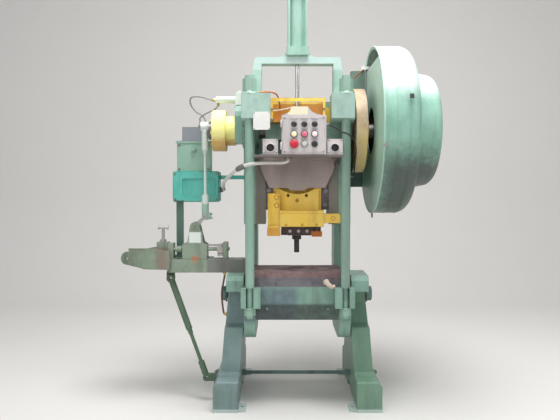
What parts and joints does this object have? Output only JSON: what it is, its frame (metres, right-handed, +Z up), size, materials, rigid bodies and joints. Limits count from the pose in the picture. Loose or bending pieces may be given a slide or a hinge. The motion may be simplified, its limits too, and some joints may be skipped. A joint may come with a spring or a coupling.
{
  "type": "open-back inclinable stamping press",
  "caption": "Gap-frame mechanical press on two legs with tie rods, crank-driven slide, guarded flywheel, brake, counterbalance cylinder, control box and side feed.",
  "frame": {"origin": "on the floor, midway between the four anchor bolt holes in the feet", "axes": "+X to the operator's right, +Y to the rear, +Z up; the crank axis runs along X, 170 mm before the origin"},
  "size_m": [2.0157, 1.1829, 2.668],
  "materials": {
    "frame_green": "worn sea-green machine enamel over cast iron",
    "leg_green": "worn grey-green machine enamel over cast iron",
    "pale_green": "pale green enamel",
    "tube_green": "smooth pale green enamel on a drawn tube",
    "rod_green": "green enamel on turned steel",
    "guard_green": "light green enamel on spun sheet steel",
    "machine_yellow": "worn yellow enamel with rust showing through",
    "safety_yellow": "bright yellow enamel",
    "tan_disc": "tan film over machined iron",
    "rusty_plate": "bare plate with brown rust and oil",
    "oily_steel": "dark oily machined steel",
    "bronze": "bearing bronze",
    "ground_rod": "ground and polished",
    "wheel_iron": "machined grey iron",
    "belt_rubber": "black belt rubber",
    "motor_green": "dark green enamel",
    "apron_brown": "grey-brown film over sheet steel",
    "control_grey": "light grey powder coat",
    "black_plastic": "black moulded plastic",
    "red_plastic": "red moulded plastic",
    "white_plastic": "white moulded plastic",
    "feed_green": "oily grey-green enamel",
    "feed_steel": "bright machined steel",
    "turquoise": "turquoise enamel",
    "box_green": "grey-green enamel",
    "conduit_grey": "light grey flexible conduit",
    "hose_grey": "grey air hose",
    "cable_black": "black cable sheath",
    "hose_brown": "brown rubber hose"
  },
  "bodies": {
    "frame": {"left_leg": "leg_green", "right_leg": "leg_green", "leg_fasteners": "oily_steel", "frame": "frame_green", "bolster": "rusty_plate", "bolster_top_plate": "rusty_plate", "tie_rods": "rod_green", "tie_rod_nuts": "rod_green", "main_bushes": "bronze", "gibs": "oily_steel", "yoke": "pale_green", "cylinder_heads": "pale_green", "cylinder_tube": "tube_green", "cylinder_tie_rods": "tube_green", "brake_housing": "safety_yellow", "exhaust_muffler": "pale_green", "flywheel_guard": "guard_green", "motor": "motor_green", "motor_base": "motor_green", "drive_belts": "belt_rubber", "crank_guard": "safety_yellow", "apron": "apron_brown", "control_box": "control_grey", "palm_boxes": "control_grey", "conduit": "conduit_grey", "junction_box": "box_green", "valve_box": "turquoise", "feed_base": "feed_green", "feed_strut": "rod_green", "air_hose_long": "hose_grey", "air_hose_short": "hose_grey", "palm_cable": "cable_black", "feed_hose": "hose_brown"},
    "crankshaft": {"crankshaft": "oily_steel", "clutch_disc": "tan_disc", "feed_crank": "oily_steel"},
    "connecting_rod": {"connecting_rod": "oily_steel", "rod_cap": "oily_steel", "adjusting_screw": "oily_steel"},
    "slide": {"slide": "machine_yellow", "slide_clamp_block": "machine_yellow", "slide_bracket": "machine_yellow", "tool_plate": "oily_steel", "balance_piston": "ground_rod"},
    "knockout_bar": {"knockout_bar": "machine_yellow"},
    "flywheel": {"flywheel": "wheel_iron"},
    "motor_pulley": {"motor_pulley": "wheel_iron"},
    "feed_rod": {"feed_rod": "rod_green"},
    "feed_lever": {"feed_lever": "feed_steel"},
    "feed_head": {"feed_head": "feed_steel"},
    "feed_roller": {"feed_roller": "feed_steel"},
    "t_handle": {"t_handle": "feed_steel"},
    "selector_left": {"selector_left": "black_plastic"},
    "selector_middle": {"selector_middle": "black_plastic"},
    "selector_right": {"selector_right": "black_plastic"},
    "stop_button": {"stop_button": "red_plastic"},
    "start_button": {"start_button": "white_plastic"},
    "inch_button": {"inch_button": "black_plastic"},
    "palm_button_left": {"palm_button_left": "black_plastic"},
    "palm_button_right": {"palm_button_right": "black_plastic"}
  },
  "joints": [
    {"name": "crank_turn", "type": "hinge", "parent": "frame", "child": "crankshaft", "pos_m": [0, -0.17, 1.766], "axis": [-1, 0, 0], "range_deg": [0, 180]},
    {"name": "rod_upright", "type": "hinge", "parent": "crankshaft", "child": "connecting_rod", "pos_m": [0, -0.17, 1.8035], "axis": [-1, 0, 0], "range_deg": [-180, 0]},
    {"name": "slide_stroke", "type": "slide", "parent": "frame", "child": "slide", "axis": [0, 0, 1], "range_m": [-0.075, 0]},
    {"name": "knockout_lift", "type": "slide", "parent": "slide", "child": "knockout_bar", "axis": [0, 0, 1], "range_m": [0, 0.018]},
    {"name": "flywheel_spin", "type": "hinge", "parent": "frame", "child": "flywheel", "pos_m": [0.595, -0.17, 1.766], "axis": [1, 0, 0], "continuous": true},
    {"name": "pulley_spin", "type": "hinge", "parent": "frame", "child": "motor_pulley", "pos_m": [0.595, 0.36, 1.876], "axis": [1, 0, 0], "continuous": true},
    {"name": "feed_rod_upright", "type": "hinge", "parent": "crankshaft", "child": "feed_rod", "pos_m": [-0.6, -0.17, 1.796], "axis": [-1, 0, 0], "range_deg": [-180, 0]},
    {"name": "feed_lever_swing", "type": "hinge", "parent": "frame", "child": "feed_lever", "pos_m": [-0.664, -0.17, 1.14], "axis": [0, 1, 0], "range_deg": [0, 42.2]},
    {"name": "feed_head_travel", "type": "slide", "parent": "frame", "child": "feed_head", "axis": [1, 0, 0], "range_m": [-0.0633, 0]},
    {"name": "feed_roller_spin", "type": "hinge", "parent": "frame", "child": "feed_roller", "pos_m": [-1.092, -0.17, 0.938], "axis": [0, 1, 0], "continuous": true},
    {"name": "t_handle_turn", "type": "hinge", "parent": "frame", "child": "t_handle", "pos_m": [-0.878, -0.17, 1.1], "axis": [0, 0, 1], "continuous": true},
    {"name": "selector_left_turn", "type": "hinge", "parent": "frame", "child": "selector_left", "pos_m": [-0.027, -0.6, 1.767], "axis": [0, 1, 0], "range_deg": [-45, 45]},
    {"name": "selector_middle_turn", "type": "hinge", "parent": "frame", "child": "selector_middle", "pos_m": [0.033, -0.6, 1.767], "axis": [0, 1, 0], "range_deg": [-45, 45]},
    {"name": "selector_right_turn", "type": "hinge", "parent": "frame", "child": "selector_right", "pos_m": [0.093, -0.6, 1.767], "axis": [0, 1, 0], "range_deg": [-45, 45]},
    {"name": "stop_button_push", "type": "slide", "parent": "frame", "child": "stop_button", "axis": [0, 1, 0], "range_m": [0, 0.004], "stiffness_N_per_m": 400},
    {"name": "start_button_push", "type": "slide", "parent": "frame", "child": "start_button", "axis": [0, 1, 0], "range_m": [0, 0.004], "stiffness_N_per_m": 400},
    {"name": "inch_button_push", "type": "slide", "parent": "frame", "child": "inch_button", "axis": [0, 1, 0], "range_m": [0, 0.004], "stiffness_N_per_m": 400},
    {"name": "palm_button_left_push", "type": "slide", "parent": "frame", "child": "palm_button_left", "axis": [0, 1, 0], "range_m": [0, 0.006], "stiffness_N_per_m": 400},
    {"name": "palm_button_right_push", "type": "slide", "parent": "frame", "child": "palm_button_right", "axis": [0, 1, 0], "range_m": [0, 0.006], "stiffness_N_per_m": 400}
  ],
  "couplings": [
    {"joint": "rod_upright", "follows": "crank_turn", "ratio": -1},
    {"joint": "slide_stroke", "follows": "crank_turn", "m_per_rad": -0.02387},
    {"joint": "feed_rod_upright", "follows": "crank_turn", "ratio": -1},
    {"joint": "feed_lever_swing", "follows": "crank_turn", "ratio": 0.23411},
    {"joint": "feed_head_travel", "follows": "crank_turn", "m_per_rad": -0.02014},
    {"joint": "pulley_spin", "follows": "flywheel_spin", "ratio": 6.54}
  ]
}
